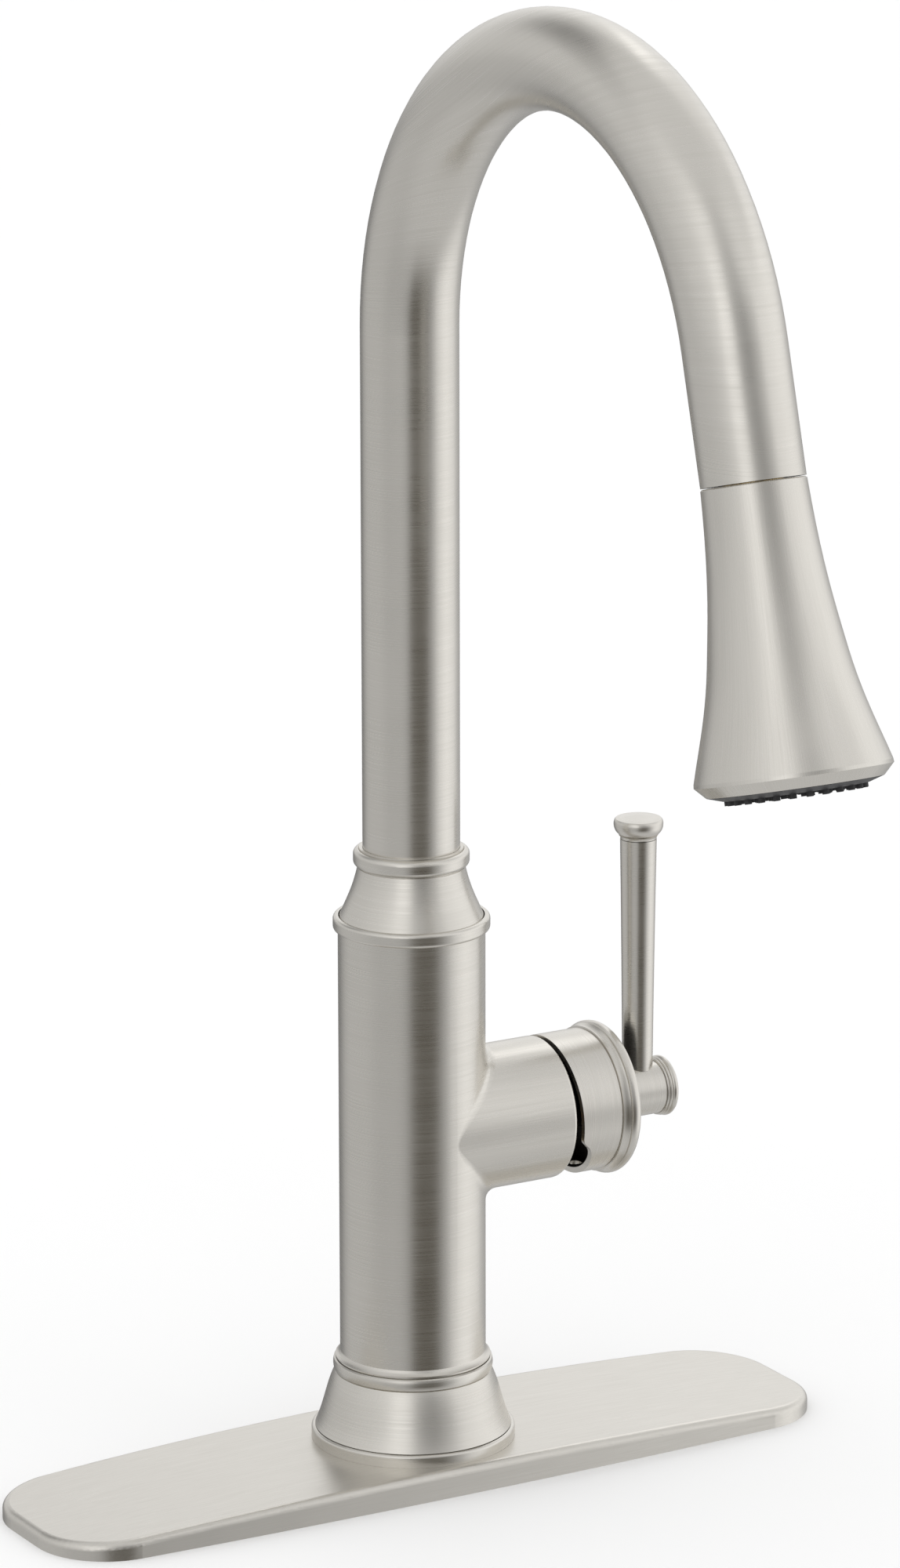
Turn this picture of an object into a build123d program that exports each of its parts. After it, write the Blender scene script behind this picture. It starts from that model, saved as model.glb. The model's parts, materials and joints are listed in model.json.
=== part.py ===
from build123d import *
import os
from math import asin, cos, radians, sin, sqrt

# A pull-down kitchen faucet for one deck hole, with a long deck plate that covers a three-hole drilling.
# Millimetres. The origin is on the column's axis at the top of the sink deck. +Z is up, the spout points
# to -Y, and the handle is on the +X side.

# ---------------------------------------------------------------- clearances and fits
seat_gap = 0.05          # radial play between turned pieces that are screwed or pressed together
running_gap = 0.06       # radial play of a bearing or pin
clear_gap = 0.3          # air between pieces that move past each other
groove = 0.4             # width of a visible shadow line between two fixed pieces

# ---------------------------------------------------------------- deck plate
plate_length = 260.0
plate_width = 67.8       # across the middle
plate_side_bow = 3.3     # how far each long side bows out
plate_end_bow = 0.3
plate_corner = 23.0
plate_height = 8.43      # at the middle
plate_crown = 3.7        # how much lower the top is at the ends
plate_edge = 2.2         # rounding of the top edge
plate_wall = 2.0
plate_seat_depth = 0.23  # how far the flat ring is let into the plate
liner_thickness = 2.2
liner_rib = 3.0

# ---------------------------------------------------------------- base and column
column_radius = 21.65
column_wall = 2.25
column_foot_proud = 1.4  # how far the column's foot stands out over its cove
column_cove_height = 1.5
column_lip = 1.4         # how far the lip at the top of the column's bore stands in
column_lip_height = 2.4
base_foot_flare = 7.55   # the base's outline, each radius measured out from the column's wall
base_waist = (5.6, 17.6)
base_middle = (3.93, 23.5)
base_neck = (1.7, 29.4)
base_bead_flare = 2.1
base_bead_low = 29.9
base_bead_high = 33.0
base_crease = 0.45       # depth of the fine lines above and below the bead
base_top = 33.3
base_web_top = 22.0
base_spigot_wall = 2.6
base_ring_flare = 1.1    # how far the flat ring stands out from the foot
base_ring_top = 12.1
base_ring_round = 0.9
base_seal_section = 1.2
base_seal_rise = 0.66    # height of the seal's middle over the plate's seat
foot_lip = 0.8
top_ring_proud = 1.45
top_ring_bottom = 165.2
top_ring_height = 4.2
top_ring_round = 1.1

# ---------------------------------------------------------------- shank and clamp under the deck
shank_radius = 16.5
shank_wall = 2.2
shank_length = 60.0
shank_play = 0.7         # radial play of the shank in the plate, ring and deck washers
deck_thickness = 12.0
deck_washer_thickness = 2.0
clamp_washer_thickness = 2.0
clamp_washer_radius = 27.0
nut_height = 10.0
nut_across_flats = 44.0
nut_screw_radius = 2.1
nut_screw_circle = 19.6
nut_screw_flats = 5.0
nut_screw_reach = 6.0    # how far the screws stand out under the nut
nut_screw_head = 3.0

# ---------------------------------------------------------------- side branch and cartridge, along the
# branch's axis
branch_height = 103.5
branch_radius = 21.4
branch_wall = 3.7
branch_length = 36.3     # from the water block to the end
branch_round = 1.2
branch_fillet = 4.0
block_thickness = 8.0
port_spread = 9.0
side_port_rise = 2.0
middle_port_drop = 7.0
port_radius = 2.6
port_seal_radius = 4.0
port_seal_thickness = 1.6
cartridge_base_thickness = 4.0
housing_length = 19.8
housing_wall = 2.5
housing_lid = 3.0
disc_thickness = 3.5
disc_play = 0.5          # radial play of the fixed disc and of the spindle's flange in the housing
moving_disc_play = 3.1
moving_disc_pocket = (16.0, 9.0, 1.5)
carrier_thickness = 4.8
spindle_radius = 8.9
spindle_reach = 37.8     # from the water block to the spindle's end
nut_reach = 35.4         # from the water block to the outer face of the cartridge nut
nut_bore_play = 1.5
nut_slot = (4.0, 4.0, 3.0)
nut_slot_circle = 14.5
pivot_reach = 30.3       # from the water block to the stem's pin
stem_width = 7.0
stem_slot_height = 12.8
stem_back = 4.5          # how far the square of the stem reaches behind its pin
stem_front = 20.5
stem_pin_radius = 1.5
stem_neck_radius = 1.9
stem_ball_radius = 2.6
stem_ball_distance = 8.3

# ---------------------------------------------------------------- handle, measured out from the stem's pin
skirt_radius = 21.4
skirt_wall = 1.9
skirt_rim_top = 6.9      # the skirt's edge at its highest point
skirt_rim_side = 8.3     # the skirt's edge at its sides
relief_start = -5.0      # height below the branch axis where the relief begins
relief_bend = (11.1, -9.0)
relief_low = (13.0, -13.5)
relief_end = 14.3
boss_start = 13.5
boss_radius = 8.0
skirt_end = 21.2
flange_wall_start = 21.5
band_radii = (21.9, 22.6)
band_end = 23.7
flange_radius = 23.1
flange_start = 24.1
flange_bead_end = 26.9
flange_face = 27.5
flange_crease = 0.3      # depth of the fine lines beside the band
set_screw_distance = 17.7
set_screw_radius = 2.0
set_screw_socket = 2.0
stub_radius = 8.12
stub_end = 44.9
stub_spigot_radius = 5.0
stub_spigot_depth = 4.0
end_ring_radius = 9.1
end_ring_spigot = 2.2
end_bead_radius = 8.75
end_bead_pitch = 0.85
end_cap_start = 46.8
end_ring_end = 49.1
end_cap_round = 0.8
lever_distance = 39.4
lever_foot_radius = 4.6
lever_top_radius = 5.47
lever_waist = 0.08       # how much the lever's sides bow in
lever_top = 181.6
lever_spigot_radius = 3.0
lever_spigot_depth = 5.5
knob_spigot_depth = 8.0
knob_collar = [(5.4, 0.15), (5.55, 0.75), (5.95, 1.2)]   # radius and height over the lever's top
knob_crease = (5.6, 1.4)
knob_bulb = [(6.0, 1.6), (7.1, 3.0), (7.42, 4.6), (7.3, 5.5), (6.85, 6.2)]
knob_height = 6.55

# ---------------------------------------------------------------- swivel and spout
tube_radius = 14.28
tube_wall = 1.58
tube_straight_top = 344.5
bend_radius = 88.38
bend_angle = 164.33
outlet_run = 36.5        # straight run of the tube after the bend
seam_gap = 0.3           # shadow line between the tube and the docked spray head
collar_inset = 0.45      # how far the cone's foot stands in from the column's wall
collar_sink = 0.2        # how far the cone's foot ends below the top of the column
collar_cone = [(0.685, 3.8), (0.352, 8.2), (0.102, 12.6)]   # share of the taper and height over the foot
collar_height = 15.0
collar_top_proud = 1.52  # how far the cone's top stands out from the tube
thrust_washer_thickness = 1.6
recess_depth = 1.1       # depth of the recess under the thrust washer's top
spigot_proud = 1.92
spigot_length = 48.3
spigot_rise = 7.1        # how far the spigot reaches up into the cone
bush_length = 7.0
lower_bush_rise = 5.0
land_depth = 3.2         # how far the band under the seals ends inside the column's bore
swivel_groove_depth = 0.9
swivel_seal_gap = 2.0    # metal between a seal and the bush or seal beside it
clip_rise = 2.6
clip_thickness = 1.2
clip_width = 2.6
clip_depth = 1.0
clip_opening = 7.0
ring_proud = 2.77        # how far the small ring stands out from the tube
ring_gap = 0.4
ring_height = 4.9
ring_round = 1.5
ring_lip_proud = 1.0     # the fine collar on top of the small ring
ring_lip_height = 0.45

# ---------------------------------------------------------------- pull-down hose
hose_radius = 6.0
hose_split_run = 1.0     # how far past the bend the moving end of the hose starts
hose_wall_gap = 0.8
hose_bend_low = 66.0
hose_bend_high = 90.0
hose_bend_radius = 55.0
dock_length = 14.0
magnet_shares = (0.2, 0.73)   # where the magnets lie in the dock's wall
magnet_height = 5.0
head_magnet_height = 3.0
ferrule_proud = 2.3
ferrule_above = 16.0
ferrule_below = 6.0
ferrule_nose_proud = 0.5
ferrule_nose_length = 11.0
ferrule_wall = 2.5
ferrule_blind = 6.0

# ---------------------------------------------------------------- spray head, measured along its own axis
# from the seam
head_proud = 0.07        # how far the head's top stands out from the tube
head_profile = [(0.0, 0.5), (0.046, 12.5), (0.108, 22.5), (0.199, 32.5), (0.315, 42.5), (0.45, 52.5),
                (0.641, 62.5), (0.876, 72.5), (0.992, 77.5)]   # share of the flare and length
head_chamfer = 0.4
head_wall = 1.6
head_top_wall = 5.5
lip_radius = 26.9
lip_length = 78.5
lip_inner_radius = 24.0
lip_end = 81.5
core_wall = 2.5
core_start = 6.0
core_step = 12.0         # length of the bore's narrow part
core_flare_start = 60.0
core_plate_radius = 22.6
core_plate_start = 71.5
core_plate_end = 74.5
core_rim = 2.0
check_valve_start = 22.0
check_valve_length = 12.0
check_valve_bore = 2.0
face_radius = 23.8
face_start = 76.0
face_edge = 81.6
face_flat_radius = 19.8
face_end = 82.85
mat_thickness = 1.2
mat_inset = 0.5
nub_radius = 0.95
nub_proud = 1.3
nub_rings = [(8.8, 10), (12.1, 14), (15.3, 20), (18.4, 26)]
insert_radius = 5.8
insert_proud = 0.2
insert_rim = 1.0
insert_holes = [(0.0, 1), (1.9, 6), (3.7, 12)]
insert_hole_radius = 0.7
selector_width = 11.0
selector_length = 30.0
selector_middle = 51.5
selector_proud = 1.0
selector_thickness = 2.4
selector_play = 0.85
selector_pin_radius = 0.8
selector_pin_depth = 5.2
lug_half_width = 2.0
lug_round = 2.2
ear_thickness = 2.0
ear_round = 1.6

# ---------------------------------------------------------------- water tubes
tube_line_radius = 3.6
tube_line_wall = 1.0
tube_line_gap = 0.64     # air between the side tubes and the column's bore
tube_top_insert = 6.0
tube_bend_high = 62.0
tube_bend_low = 28.0
side_tube_shank = (7.6, 6.6)
middle_tube_shank_x = 2.6
tube_bend_radius = 30.0
side_tube_spread = 20.0
spread_start = -64.0
spread_end = -88.0
side_tube_end = -112.0
middle_tube_end = -92.0
fitting_radius = 4.8
fitting_length = 12.0
fitting_socket = 6.0
fitting_hex = 12.0
fitting_hex_height = 5.0

# ---------------------------------------------------------------- sizes that follow from these
column_bore = column_radius - column_wall
base_foot_radius = column_radius + base_foot_flare
base_ring_radius = base_foot_radius + base_ring_flare
top_ring_radius = column_radius + top_ring_proud
top_ring_top = top_ring_bottom + top_ring_height
shank_bore = shank_radius - shank_wall
shank_hole = shank_radius + shank_play
branch_bore = branch_radius - branch_wall
tube_line_bore = tube_line_radius - tube_line_wall
block_middle = sqrt((column_bore - tube_line_radius - tube_line_gap) ** 2 - port_spread ** 2)
block_start = block_middle - block_thickness / 2
stem_pivot = block_start + pivot_reach
tube_bore = tube_radius - tube_wall
tube_seat = tube_radius + seat_gap
spigot_radius = tube_radius + spigot_proud
collar_seat_radius = column_radius - collar_inset
collar_seat_top = top_ring_top - collar_sink
collar_top_radius = tube_radius + collar_top_proud
collar_top = collar_seat_top + collar_height
ring_radius = tube_radius + ring_proud
ferrule_radius = hose_radius + ferrule_proud
ferrule_nose_radius = hose_radius + ferrule_nose_proud
ferrule_bore = ferrule_nose_radius - ferrule_wall
dock_bore = ferrule_radius + clear_gap
magnet_inner = dock_bore + magnet_shares[0] * (tube_bore - dock_bore)
magnet_outer = dock_bore + magnet_shares[1] * (tube_bore - dock_bore)
core_radius = ferrule_nose_radius + core_wall
core_bore = ferrule_bore + 1.0
head_top_radius = tube_radius + head_proud


# ---------------------------------------------------------------- frames
bend_centre = Vector(0, -bend_radius, tube_straight_top)
outlet_direction = Vector(0, -sin(radians(180 - bend_angle)), -cos(radians(180 - bend_angle)))
bend_end = bend_centre + Vector(0, cos(radians(bend_angle)), sin(radians(bend_angle))) * bend_radius
seam_point = bend_end + outlet_direction * outlet_run
BRANCH = Plane(origin=(0, 0, branch_height), x_dir=(0, 1, 0), z_dir=(1, 0, 0))
PIVOT = Plane(origin=(stem_pivot, 0, branch_height), x_dir=(0, 1, 0), z_dir=(1, 0, 0))
HEAD = Plane(origin=seam_point, x_dir=(1, 0, 0), z_dir=outlet_direction)


# ---------------------------------------------------------------- helpers
def rod(radius, low, high, x=0.0, y=0.0):
    """A plain cylinder along Z."""
    return Pos(x, y, low) * Cylinder(radius, high - low, align=(Align.CENTER, Align.CENTER, Align.MIN))


def pipe(outer, inner, low, high, x=0.0, y=0.0):
    """A plain ring or pipe along Z."""
    return rod(outer, low, high, x, y) - rod(inner, low - 1, high + 1, x, y)


def turned(*edges):
    """A solid turned about Z from a closed outline of edges in radius and height."""
    outline = Plane.XZ * make_face(Wire(list(edges)))
    return revolve(outline, Axis.Z, 360)


def lines(*points):
    """The straight edges through a list of points."""
    return Polyline(*points).edges()


def dome(radius, low, high):
    """An arc from a rim to the axis, centred on the axis, so that it turns into part of a ball."""
    ball = (radius ** 2 + (high - low) ** 2) / (2 * (high - low))
    half = asin(radius / ball) / 2
    return ThreePointArc((radius, low), (ball * sin(half), high - ball * (1 - cos(half))), (0, high))


def polygon_turned(*points):
    """A turned solid whose outline has straight sides only."""
    return turned(*Polyline(*points, close=True).edges())


def torus(major, minor, height):
    """A ring seal of round section."""
    return Pos(0, 0, height) * Torus(major, minor)


def gooseneck(radius, low, run):
    """A bent rod: up the column's axis from a height, round the bend and down the outlet by a run."""
    riser = rod(radius, low, tube_straight_top)
    section = Pos(0, 0, tube_straight_top) * Circle(radius)
    arch = revolve(section, Axis(bend_centre, (1, 0, 0)), bend_angle)
    outlet = Plane(origin=bend_end, x_dir=(1, 0, 0), z_dir=outlet_direction) * rod(radius, 0, run)
    return riser + arch + outlet


def bent_pipe(outer, inner, points, radius):
    """A pipe along straight runs joined by arcs."""
    path = FilletPolyline(*points, radius=radius)
    start = Plane(origin=path @ 0, z_dir=path % 0)
    solid = sweep(start * Circle(outer), path)
    if inner:
        solid = solid - sweep(start * Circle(inner), path)
    return solid


def hexagon(across, low, high, x=0.0, y=0.0):
    """A hexagonal prism along Z."""
    flat = RegularPolygon(across / 2, 6, major_radius=False)
    return extrude(Pos(x, y, low) * flat, high - low)


def save(node, solid):
    """Write one node, as one solid or as a group of separate solids."""
    solids = solid.solids()
    shape = solids[0] if len(solids) == 1 else Compound(children=list(solids))
    export_step(shape, f"parts/{node}.step")


os.makedirs("parts", exist_ok=True)


# ---------------------------------------------------------------- deck plate
def plate_outline(inset):
    """The plan of the deck plate, with bowed sides, bowed ends and round corners."""
    x = plate_length / 2 - inset
    y = plate_width / 2 - inset
    corner_x = x - plate_end_bow
    corner_y = y - plate_side_bow
    outline = make_face([
        ThreePointArc((-corner_x, -corner_y), (0, -y), (corner_x, -corner_y)),
        ThreePointArc((corner_x, -corner_y), (x, 0), (corner_x, corner_y)),
        ThreePointArc((corner_x, corner_y), (0, y), (-corner_x, corner_y)),
        ThreePointArc((-corner_x, corner_y), (-x, 0), (-corner_x, -corner_y)),
    ])
    return fillet(outline.vertices(), plate_corner - inset)


def crowned_slab(inset, height):
    """The plate's plan raised to its crowned top."""
    half = plate_length / 2
    side = make_face(
        Polyline((-half, height - plate_crown), (-half, 0), (half, 0), (half, height - plate_crown)).edges()
        + [ThreePointArc((half, height - plate_crown), (0, height), (-half, height - plate_crown))]
    )
    crown = extrude(Plane.XZ * side, plate_width, both=True)
    return extrude(plate_outline(inset), plate_height + 1) & crown


plate_seat = plate_height - plate_seat_depth
slab = crowned_slab(0, plate_height)
top_edges = slab.faces().sort_by(Axis.Z)[-1].edges()
slab = fillet(top_edges, plate_edge)
deck_plate = slab - crowned_slab(plate_wall, plate_height - plate_wall)
deck_plate = deck_plate - rod(shank_hole, -1, plate_height + 1)
deck_plate = deck_plate - rod(base_ring_radius + seat_gap, plate_seat, plate_height + 1)
save("deck_plate", deck_plate)

liner_inset = plate_wall + clear_gap
plate_liner = crowned_slab(liner_inset, plate_height - plate_wall)
liner_pocket = crowned_slab(liner_inset + liner_rib, plate_height)
liner_pocket = liner_pocket - rod(clamp_washer_radius, -1, plate_height)
plate_liner = plate_liner - Pos(0, 0, liner_thickness) * liner_pocket
plate_liner = plate_liner - rod(shank_hole, -1, plate_height + 1)
save("plate_liner", plate_liner)

# ---------------------------------------------------------------- base
base_ring = pipe(base_ring_radius, shank_hole, plate_seat, base_ring_top)
ring_rim = base_ring.edges().filter_by(GeomType.CIRCLE).group_by(Axis.Z)[-1].sort_by(SortBy.RADIUS)[-1]
base_ring = fillet(ring_rim, base_ring_round)
seal_circle = (base_ring_radius + shank_hole) / 2
base_ring = base_ring - torus(seal_circle, base_seal_section, plate_seat + base_seal_rise)
save("base_ring", base_ring)
base_seal = torus(seal_circle, base_seal_section - seat_gap, plate_seat + base_seal_rise)
base_seal = base_seal - rod(base_ring_radius, plate_seat - base_ring_top, plate_seat)
save("base_seal", base_seal)


def off_column(point):
    """A point of the base's outline, whose radius is given from the column's wall."""
    return column_radius + point[0], point[1]


shank_seat = shank_radius + seat_gap
foot_spigot = base_foot_radius - foot_lip
foot_top = base_ring_top + groove / 2
base_spigot = column_bore + base_spigot_wall
neck_radius = column_radius + base_neck[0]
bead_radius = column_radius + base_bead_flare
bead_side = bead_radius - base_crease / 2
flared_base = turned(
    *lines((shank_seat, base_ring_top), (foot_spigot, base_ring_top), (foot_spigot, foot_top),
           (base_foot_radius, foot_top)),
    Spline((base_foot_radius, foot_top), off_column(base_waist), off_column(base_middle),
           off_column(base_neck)),
    *lines(off_column(base_neck), (neck_radius - base_crease, (base_neck[1] + base_bead_low) / 2),
           (bead_side, base_bead_low)),
    ThreePointArc((bead_side, base_bead_low), (bead_radius, (base_bead_low + base_bead_high) / 2),
                  (bead_side, base_bead_high)),
    *lines((bead_side, base_bead_high), (bead_side - base_crease, base_top), (base_spigot, base_top),
           (base_spigot, base_top + groove), (column_bore, base_top + groove), (column_bore, base_web_top),
           (shank_seat, base_web_top), (shank_seat, base_ring_top)),
)
save("flared_base", flared_base)

# ---------------------------------------------------------------- column with its side branch
body_bottom = base_top + groove
foot_edge_radius = column_radius + column_foot_proud
foot_edge_top = body_bottom + groove
cove_top = foot_edge_top + column_cove_height
cove_middle = (column_radius + 0.35 * column_foot_proud, foot_edge_top + 0.45 * column_cove_height)
recess_radius = collar_seat_radius + clear_gap
recess_floor = collar_seat_top - clear_gap - thrust_washer_thickness - recess_depth
lip_bottom = recess_floor - column_lip_height
lip_radius_inside = column_bore - column_lip
rim_radius = top_ring_radius - top_ring_round
rim_low = top_ring_bottom + top_ring_round
rim_high = top_ring_top - top_ring_round
column = turned(
    *lines((column_bore, body_bottom), (foot_edge_radius, body_bottom), (foot_edge_radius, foot_edge_top)),
    ThreePointArc((foot_edge_radius, foot_edge_top), cove_middle, (column_radius, cove_top)),
    *lines((column_radius, cove_top), (column_radius, top_ring_bottom), (rim_radius, top_ring_bottom)),
    RadiusArc((rim_radius, top_ring_bottom), (top_ring_radius, rim_low), -top_ring_round),
    Line((top_ring_radius, rim_low), (top_ring_radius, rim_high)),
    RadiusArc((top_ring_radius, rim_high), (rim_radius, top_ring_top), -top_ring_round),
    *lines((rim_radius, top_ring_top), (recess_radius, top_ring_top), (recess_radius, recess_floor),
           (lip_radius_inside, recess_floor), (lip_radius_inside, lip_bottom), (column_bore, lip_bottom),
           (column_bore, body_bottom)),
)
branch_end = block_start + branch_length
branch = BRANCH * rod(branch_radius, 0, branch_end)
branch_rim = branch.edges().filter_by(GeomType.CIRCLE).sort_by(Axis.X)[-1]
branch = fillet(branch_rim, branch_round)
fill_low = branch_height - branch_radius - branch_wall
fill_high = branch_height + branch_radius + branch_fillet
filled_column = column + rod(column_bore + groove, fill_low, fill_high)
body_shell = filled_column + branch
curved = [e for e in body_shell.edges() if e.geom_type not in (GeomType.LINE, GeomType.CIRCLE)]
joint_edges = [e for e in curved if e.center().X < branch_end - branch_fillet]
body_shell = fillet(joint_edges, branch_fillet)
body_shell = body_shell - rod(column_bore, body_bottom - 1, lip_bottom)
body_shell = body_shell - BRANCH * rod(branch_bore, block_start - clear_gap, branch_end + 1)
save("body_shell", body_shell)

# ---------------------------------------------------------------- shank, washers and nut
save("mounting_shank", pipe(shank_radius, shank_bore, -shank_length, base_web_top))

washer_bore = shank_hole - clear_gap
deck_washer_bottom = -deck_thickness - deck_washer_thickness
clamp_washer_bottom = deck_washer_bottom - clamp_washer_thickness
save("deck_washer", pipe(clamp_washer_radius, washer_bore, deck_washer_bottom, -deck_thickness))
save("clamp_washer", pipe(clamp_washer_radius, washer_bore, clamp_washer_bottom, deck_washer_bottom))

nut_bottom = clamp_washer_bottom - nut_height
mounting_nut = hexagon(nut_across_flats, nut_bottom, clamp_washer_bottom)
mounting_nut = mounting_nut - rod(shank_radius + seat_gap, nut_bottom - 1, clamp_washer_bottom + 1)
screw_bottom = nut_bottom - nut_screw_reach
nut_screws = []
for angle in (45, 225):
    screw_x = nut_screw_circle * cos(radians(angle))
    screw_y = nut_screw_circle * sin(radians(angle))
    mounting_nut = mounting_nut - rod(nut_screw_radius + seat_gap, nut_bottom - 1, clamp_washer_bottom + 1,
                                      screw_x, screw_y)
    screw = rod(nut_screw_radius, screw_bottom, clamp_washer_bottom, screw_x, screw_y)
    head = hexagon(nut_screw_flats, screw_bottom - nut_screw_head, screw_bottom, screw_x, screw_y)
    nut_screws.append(screw + head)
save("mounting_nut", mounting_nut)
save("nut_screws", Compound(children=nut_screws))

# ---------------------------------------------------------------- water block and tubes
block_end = block_start + block_thickness
block_radius = branch_bore - seat_gap
water_block = BRANCH * rod(block_radius, block_start, block_end)
ports = {"hot": (-port_spread, side_port_rise), "mixed": (0.0, -middle_port_drop),
         "cold": (port_spread, side_port_rise)}
block_floor = {}
for name, (port_y, port_z) in ports.items():
    edge_z = branch_height - sqrt(block_radius ** 2 - port_y ** 2)
    block_floor[name] = edge_z + tube_top_insert
    water_block = water_block - rod(port_radius, edge_z - 5, branch_height + port_z, block_middle, port_y)
    water_block = water_block - rod(tube_line_radius + seat_gap, edge_z - 5, block_floor[name],
                                    block_middle, port_y)
    water_block = water_block - BRANCH * rod(port_radius, block_middle, block_end + 1, port_y, port_z)
save("water_block", water_block)

for name, side in (("hot", -1), ("cold", 1)):
    route = [(block_middle, side * port_spread, block_floor[name]),
             (block_middle, side * port_spread, tube_bend_high),
             (side_tube_shank[0], side * side_tube_shank[1], tube_bend_low),
             (side_tube_shank[0], side * side_tube_shank[1], spread_start),
             (side_tube_shank[0], side * side_tube_spread, spread_end),
             (side_tube_shank[0], side * side_tube_spread, side_tube_end)]
    save(f"{name}_tube", bent_pipe(tube_line_radius, tube_line_bore, route, tube_bend_radius))
route = [(block_middle, 0, block_floor["mixed"]), (block_middle, 0, tube_bend_high),
         (middle_tube_shank_x, 0, tube_bend_low), (middle_tube_shank_x, 0, middle_tube_end)]
save("outlet_tube", bent_pipe(tube_line_radius, tube_line_bore, route, tube_bend_radius))


def fitting(x, y, end):
    """A brass end fitting brazed over a tube, with a hexagon and a plain nose for the supply line."""
    body = rod(fitting_radius, end - fitting_length, end + fitting_socket, x, y)
    body = body + hexagon(fitting_hex, end, end + fitting_hex_height, x, y)
    body = body - rod(tube_line_radius + seat_gap, end, end + fitting_socket + 1, x, y)
    return body - rod(tube_line_bore, end - fitting_length - 1, end + 1, x, y)


save("hot_inlet", fitting(side_tube_shank[0], -side_tube_spread, side_tube_end))
save("cold_inlet", fitting(side_tube_shank[0], side_tube_spread, side_tube_end))
save("outlet_nipple", fitting(middle_tube_shank_x, 0, middle_tube_end))

# ---------------------------------------------------------------- cartridge
housing_radius = branch_bore - 2 * seat_gap
base_end = block_end + cartridge_base_thickness
housing_bore = housing_radius - housing_wall
disc_radius = housing_bore - disc_play
cartridge_base = BRANCH * rod(housing_radius, block_end, base_end)
fixed_disc = BRANCH * rod(disc_radius, base_end, base_end + disc_thickness)
port_seals = []
for port_y, port_z in ports.values():
    passage = BRANCH * rod(port_radius, block_end - 1, base_end + disc_thickness + 1, port_y, port_z)
    cartridge_base = cartridge_base - passage
    fixed_disc = fixed_disc - passage
    seal_seat = BRANCH * rod(port_seal_radius, block_end, block_end + port_seal_thickness, port_y, port_z)
    cartridge_base = cartridge_base - seal_seat
    port_seals.append(BRANCH * pipe(port_seal_radius - seat_gap, port_radius, block_end,
                                    block_end + port_seal_thickness, port_y, port_z))
save("cartridge_base", cartridge_base)
save("fixed_disc", fixed_disc)
save("port_seals", Compound(children=port_seals))

housing_end = base_end + housing_length
housing = rod(housing_radius, base_end, housing_end)
housing = housing - rod(housing_bore, base_end - 1, housing_end - housing_lid)
housing = housing - rod(spindle_radius + running_gap, base_end, housing_end + 1)
save("cartridge_housing", BRANCH * housing)

nut_face = block_start + nut_reach
cartridge_nut = rod(branch_bore - seat_gap, housing_end, nut_face)
cartridge_nut = cartridge_nut - rod(spindle_radius + nut_bore_play, housing_end - 1, nut_face + 1)
for angle in range(0, 360, 60):
    cartridge_nut = cartridge_nut - Rot(0, 0, angle) * Pos(nut_slot_circle, 0, nut_face) * Box(*nut_slot)
save("cartridge_nut", BRANCH * cartridge_nut)

disc_start = base_end + disc_thickness + running_gap
disc_end = disc_start + disc_thickness
moving_disc_radius = housing_bore - moving_disc_play
pocket_length, pocket_width, pocket_depth = moving_disc_pocket
pocket = Pos(0, 0, disc_start) * Box(pocket_length, pocket_width, 2 * pocket_depth)
save("moving_disc", BRANCH * (rod(moving_disc_radius, disc_start, disc_end) - pocket))
carrier_end = disc_end + carrier_thickness
disc_carrier = rod(moving_disc_radius, disc_end, carrier_end)
disc_carrier = disc_carrier - rod(stem_ball_radius + clear_gap, disc_end - 1, carrier_end + 1)
save("disc_carrier", BRANCH * disc_carrier)

spindle_start = carrier_end + clear_gap
spindle_end = block_start + spindle_reach
flange_end = housing_end - housing_lid - clear_gap
spindle = rod(disc_radius, spindle_start, flange_end) + rod(spindle_radius, spindle_start, spindle_end)
slot_length = spindle_end - spindle_start + 2
slot_width = stem_width + 2 * running_gap
slot_middle = Pos(0, 0, (spindle_start + spindle_end) / 2)
spindle = spindle - slot_middle * Box(slot_width, stem_slot_height, slot_length)
pin_axis = Pos(0, 0, stem_pivot) * Rot(0, 90, 0)
pin_half = spindle_radius - groove
spindle = spindle - pin_axis * rod(stem_pin_radius + seat_gap, -pin_half, pin_half)
save("cartridge_spindle", BRANCH * spindle)
save("stem_pin", BRANCH * pin_axis * rod(stem_pin_radius, seat_gap - pin_half, pin_half - seat_gap))

stem_length = stem_back + stem_front
stem = Pos(0, 0, (stem_front - stem_back) / 2) * Box(stem_width, stem_width, stem_length)
stem = stem + rod(stem_neck_radius, -stem_ball_distance, -stem_back)
stem = stem + Pos(0, 0, -stem_ball_distance) * Sphere(stem_ball_radius)
stem = stem - Rot(0, 90, 0) * rod(stem_pin_radius + running_gap, -stem_width, stem_width)
save("cartridge_stem", PIVOT * stem)

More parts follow.
